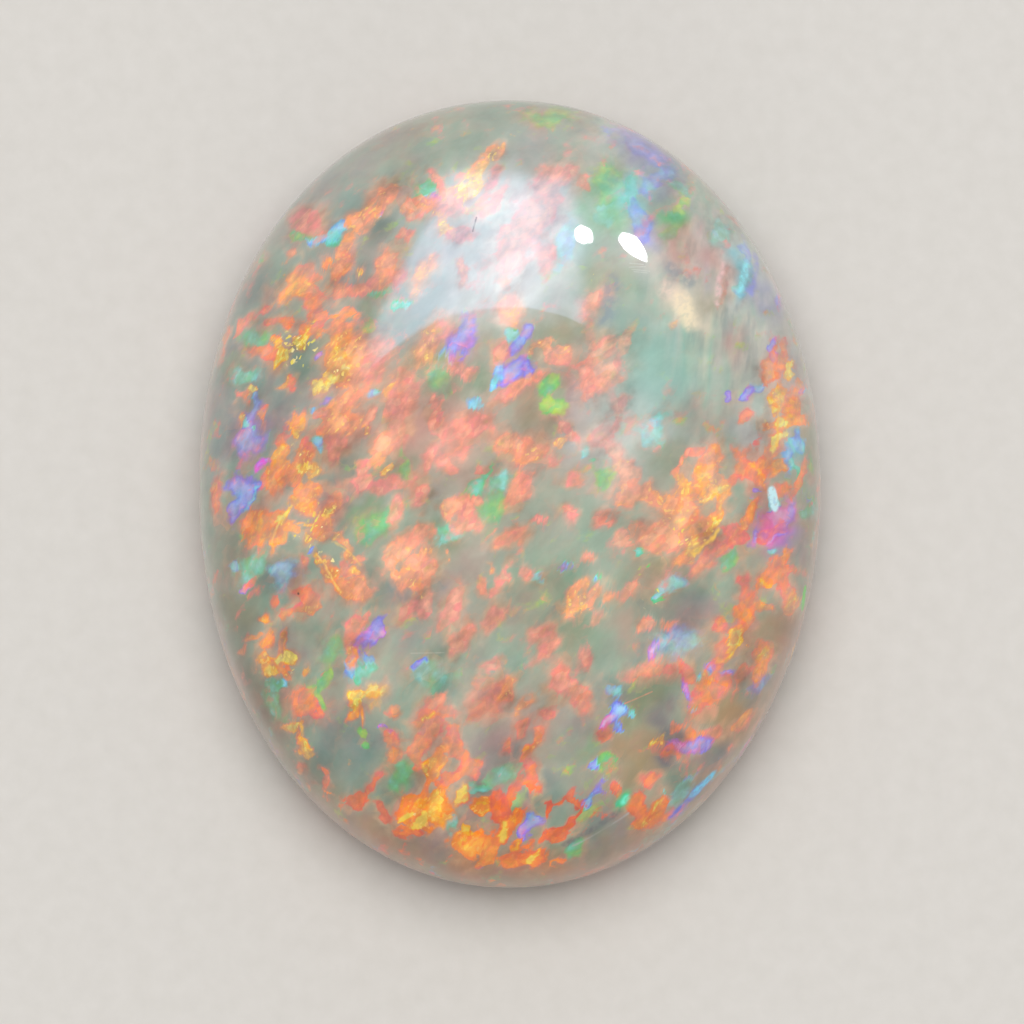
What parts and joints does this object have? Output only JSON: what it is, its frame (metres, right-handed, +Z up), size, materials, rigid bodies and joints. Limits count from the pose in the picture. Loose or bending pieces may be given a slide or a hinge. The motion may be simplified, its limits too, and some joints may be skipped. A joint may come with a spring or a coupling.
{
  "type": "polished opal cabochon",
  "caption": "Oval domed gemstone, milky green with bright orange, green and blue colour flashes, polished, with a flat bevelled back for a setting.",
  "frame": {"origin": "middle of the flat back, which is the face that the stone rests on", "axes": "+Z up out of the back through the crown of the dome, +Y along the length of the oval, +X across it"},
  "size_m": [0.0126, 0.016, 0.0055],
  "materials": {
    "opal": "high polish, milky and translucent, with flecks of spectral colour inside"
  },
  "bodies": {
    "root": {"opal_cabochon": "opal"}
  },
  "joints": []
}
